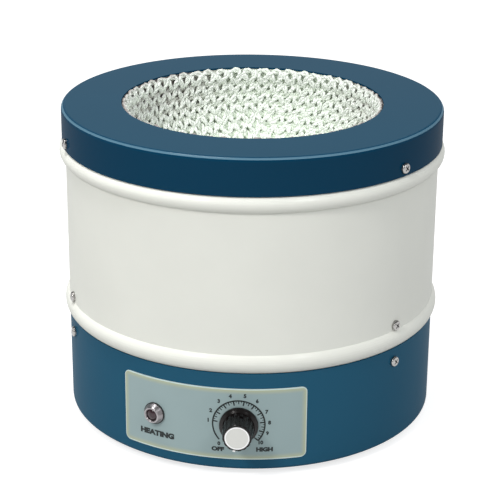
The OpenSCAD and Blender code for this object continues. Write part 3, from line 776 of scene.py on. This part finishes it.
ring_angles = np.linspace(dial_angle(zero_place), dial_angle(10), 109)
strokes = [(np.stack(dial_point(ring_angles, ring_r), -1), ring_line)]
for mark in range(marks_per_number, 10 * marks_per_number + 1):
    at = dial_angle(mark / marks_per_number)
    length, thick = (whole_mark, quarter_mark, half_mark, quarter_mark)[mark % marks_per_number]
    strokes.append(([dial_point(at, ring_r), dial_point(at, ring_r - length)], thick))
new_piece("dial_scale", *ink_strokes(strokes), ink, "housing", "panel_print", smooth=False)

words = []
for number, degrees in enumerate(numeral_degrees):
    across, up = dial_point(math.radians(degrees), numeral_r, numeral_shift)
    words.append(ink_words(f"numeral_{number}", str(number), across, up, numeral_height,
                           bold=0.06))
words.append(ink_words("off", "OFF", knob_arc - 0.0148, level=0.0212, height=0.0035, bold=0.07,
                       width=0.0090))
words.append(ink_words("high", "HIGH", knob_arc + 0.0180, level=0.0217, height=0.0035,
                       bold=0.07, width=0.0118))
new_piece("dial_words", *join(words), ink, "housing", "panel_print", smooth=False)
heating = ink_words("heating", "HEATING", lamp_arc + 0.0016, level=0.0255, height=0.0045,
                    bold=0.07, width=0.0276)
new_piece("lamp_word", *heating, ink, "housing", "panel_print", smooth=False)

# ---------------------------------------------------------------- pilot lamp
# A neon indicator: a chromed collar on a black gasket, a dark red lens and a pale moulded body
# behind it. A nut inside the drum holds the collar by its threaded tail.
chrome = plated("lamp_chrome", (0.36, 0.34, 0.35), roughness=0.34, grain=0.003,
                depth=0.000004, variation=0.2)
dress(chrome, "lamp_bezel")
lens, tree, shader, place = start_finish("lamp_lens", (0.035, 0.010, 0.016), 0.12, specular=0.5)
cells = noise(tree, place, 0.0016, 2)
tint(tree, shader, shade_between(tree, cells, (0.006, 0.004, 0.005), (0.060, 0.022, 0.032)))
emboss(tree, shader, cells, 0.0001)
dress(lens, "lamp_lens")
dress(moulded("lamp_case", (0.72, 0.70, 0.64), roughness=0.45, specular=0.4, grain=0.0006,
              depth=0.00001, light=1.08), "lamp_body")


def on_wall(angle, flat):
    """Points on the drum's wall at an angle from the panel's middle and at the controls'
    level: x goes along the wall, y up, and z straight out of the wall from the drum's face."""
    right = np.array([math.cos(angle), math.sin(angle), 0])
    up = np.array([0, 0, 1.0])
    out = np.array([math.sin(angle), -math.cos(angle), 0])
    flat = np.asarray(flat)
    return (flat[:, :1] * right + flat[:, 1:2] * up + (flat[:, 2:] + drum_r) * out
            + np.array([0, 0, z_controls]))


def turned_ring(section, steps):
    """A closed section of (radius, height) points revolved about the Z axis: the outline runs
    anticlockwise with radius to the right and height up."""
    section = np.asarray(section, float)
    turn = np.arange(steps) * 2 * math.pi / steps
    points = np.stack([section[None, :, 0] * np.cos(turn)[:, None],
                       section[None, :, 0] * np.sin(turn)[:, None],
                       section[None, :, 1] + 0 * turn[:, None]], -1)
    n = len(section)
    i, j = np.meshgrid(np.arange(steps), np.arange(n), indexing="ij")
    quads = np.stack([i * n + j, ((i + 1) % steps) * n + j, ((i + 1) % steps) * n + (j + 1) % n,
                      i * n + (j + 1) % n], -1)
    return points.reshape(-1, 3), quads.reshape(-1, 4)


gasket = moulded("black_gasket", (0.018, 0.020, 0.020), roughness=0.5, specular=0.3,
                 grain=0.0004, depth=0.00001, light=1.4)
gasket_in = 0.00762
gasket_out = 0.0081
gasket_foot = 0.00064          # just off the panel's face
gasket_top = 0.0019
section = [(gasket_in, gasket_foot), (gasket_out, gasket_foot), (gasket_out, 0.0016),
           (0.0079, gasket_top), (gasket_in, gasket_top)]
points, quads = turned_ring(section, 64)
new_piece("lamp_gasket", on_wall(lamp_angle, points), quads, gasket, "housing", "black_plastic")

# ---------------------------------------------------------------- knob
# A black moulded body with a satin aluminium disc let into its front, and a white rib as its
# pointer. A grub screw fixes it on the regulator's shaft, with which it turns.
gloss_black = moulded("knob_black", (0.005, 0.004, 0.004), roughness=0.17, specular=0.26,
                      grain=0.0008, depth=0.000006, light=1.5)
dress(gloss_black, "knob")
dress(moulded("pointer_white", (0.86, 0.86, 0.84), roughness=0.35, specular=0.4, grain=0.0006,
              depth=0.000006, light=1.06), "knob_pointer")
knob_front = 0.0218            # the disc's height over the drum's face
ring_pitch = 0.0004            # of the disc's fine rings
edge_from, edge_to = 0.0075, 0.0079    # radii between which the disc's painted highlight on its edge begins
line_from, line_to = 0.0084, 0.0087    # and those between which the black line does
disc_satin = (0.64, 0.64, 0.61)
disc_edge_highlight = (0.90, 0.90, 0.90)
let_in_line = (0.012, 0.012, 0.012)


def spun_disc():
    """Satin aluminium: fine rings about the knob's axis, from the distance to that axis, a
    painted highlight on its turned edge, and a black line round it where it is let into the knob."""
    material, tree, shader, place = start_finish("satin_disc", (0.78, 0.78, 0.76), 0.45,
                                                 metallic=0.35)
    centre = on_wall(knob_angle, [(0, 0, knob_front)])[0]
    # Object coordinates moved to the disc's centre and turned so that the disc's face is XZ
    moved = add_node(tree, "ShaderNodeVectorMath", {"operation": "SUBTRACT"}, v0=place,
                     v1=tuple(centre))
    turned = add_node(tree, "ShaderNodeVectorRotate", {"rotation_type": "Z_AXIS"},
                      Vector=moved.outputs[0], Angle=-knob_angle)
    parts = parts_of(tree, turned.outputs[0])
    squares = [compute(tree, "MULTIPLY", parts[axis], parts[axis]) for axis in ("X", "Z")]
    radius = compute(tree, "SQRT", compute(tree, "ADD", *squares))
    # Painted highlight: a bright ring on the disc's turned edge
    on_edge_highlight = spread(tree, radius, 0.0, 1.0, start=edge_from, end=edge_to)
    on_line = spread(tree, radius, 0.0, 1.0, start=line_from, end=line_to)
    rings = compute(tree, "SINE", compute(tree, "MULTIPLY", radius, 2 * math.pi / ring_pitch))
    face = shade_between(tree, on_edge_highlight, disc_satin, disc_edge_highlight)
    tint(tree, shader, shade_between(tree, on_line, face, let_in_line))
    emboss(tree, shader, rings, 0.000004)
    return material


dress(spun_disc(), "knob_face")

# ---------------------------------------------------------------- regulator and board
# The phase control behind the panel: a phenolic-backed potentiometer with a switch, held by
# the nut on its bushing, and a board on spacers with its triac on a finned heat sink, a film
# capacitor, a ring choke and terminals.
phenolic, tree, shader, place = start_finish("phenolic", (0.22, 0.11, 0.04), 0.5, specular=0.4)
layers = add_node(tree, "ShaderNodeTexWave", {"bands_direction": "Z"}, Vector=place, Scale=900,
                  Distortion=1.5).outputs["Fac"]
tint(tree, shader, shade_between(tree, layers, (0.16, 0.075, 0.028), (0.27, 0.14, 0.055)))
emboss(tree, shader, layers, 0.00002)
dress(phenolic, "regulator_body")

board, tree, shader, place = start_finish("solder_mask", (0.03, 0.14, 0.06), 0.35, specular=0.5)
tracks = add_node(tree, "ShaderNodeTexBrick", {"offset": 0.37, "squash": 0.7}, Vector=place,
                  Scale=60, Color1=(0.02, 0.11, 0.05, 1), Color2=(0.03, 0.13, 0.06, 1),
                  Mortar=(0.07, 0.24, 0.10, 1), Mortar_Size=0.03)
tint(tree, shader, tracks.outputs["Color"])
emboss(tree, shader, tracks.outputs["Fac"], 0.00003)
dress(board, "circuit_board")

dress(plated("brass", (0.72, 0.50, 0.20), roughness=0.28, grain=0.003, depth=0.000006),
      "board_spacers")
dress(plated("satin_aluminium", (0.66, 0.67, 0.68), roughness=0.38, grain=0.002,
             depth=0.00001), "heat_sink")
dress(moulded("triac_epoxy", (0.02, 0.02, 0.021), roughness=0.6, specular=0.4, grain=0.0003,
              depth=0.00001, light=1.5), "triac")
dress(moulded("film_yellow", (0.72, 0.42, 0.04), roughness=0.3, specular=0.5, grain=0.001,
              depth=0.00001, light=1.1), "filter_capacitor")
dress(moulded("terminal_white", (0.74, 0.72, 0.64), roughness=0.4, specular=0.4, grain=0.0006,
              depth=0.00001, light=1.08), "terminal_block")


def lead_skin(name, colour):
    """The plastic skin of a thin wire."""
    return moulded(name, colour, roughness=0.38, specular=0.4, grain=0.0008, depth=0.00001,
                   light=1.15)


dress(lead_skin("red_lead", (0.42, 0.012, 0.010)), "lamp_leads")
dress(lead_skin("blue_lead", (0.012, 0.05, 0.30)), "regulator_leads")

windings, tree, shader, place = start_finish("enamelled_copper", (0.60, 0.22, 0.06), 0.25,
                                             metallic=0.8)
turns = add_node(tree, "ShaderNodeTexWave", {"bands_direction": "DIAGONAL"}, Vector=place,
                 Scale=420, Distortion=0.4).outputs["Fac"]
tint(tree, shader, shade_between(tree, turns, (0.30, 0.09, 0.02), (0.70, 0.27, 0.08)))
emboss(tree, shader, turns, 0.0002)
dress(windings, "filter_choke")

# ---------------------------------------------------------------- cable gland and fuse
# On the back: a nylon gland for the supply lead, empty here, and a panel fuse holder whose
# slotted cap comes out with the glass fuse. A nut inside the drum holds each.
dress(moulded("black_nylon", (0.020, 0.020, 0.022), roughness=0.5, specular=0.4, grain=0.0005,
              depth=0.00002, light=1.5), "cable_gland", "gland_nut", "fuse_nut")
dress(moulded("fuse_bakelite", (0.014, 0.013, 0.013), roughness=0.3, specular=0.5,
              grain=0.0006, depth=0.00001, light=1.5), "fuse_holder", "fuse_cap")
dress(moulded("fuse_glass", (0.62, 0.66, 0.66), roughness=0.12, specular=0.6, grain=0.002,
              depth=0.000004, light=1.2), "fuse")
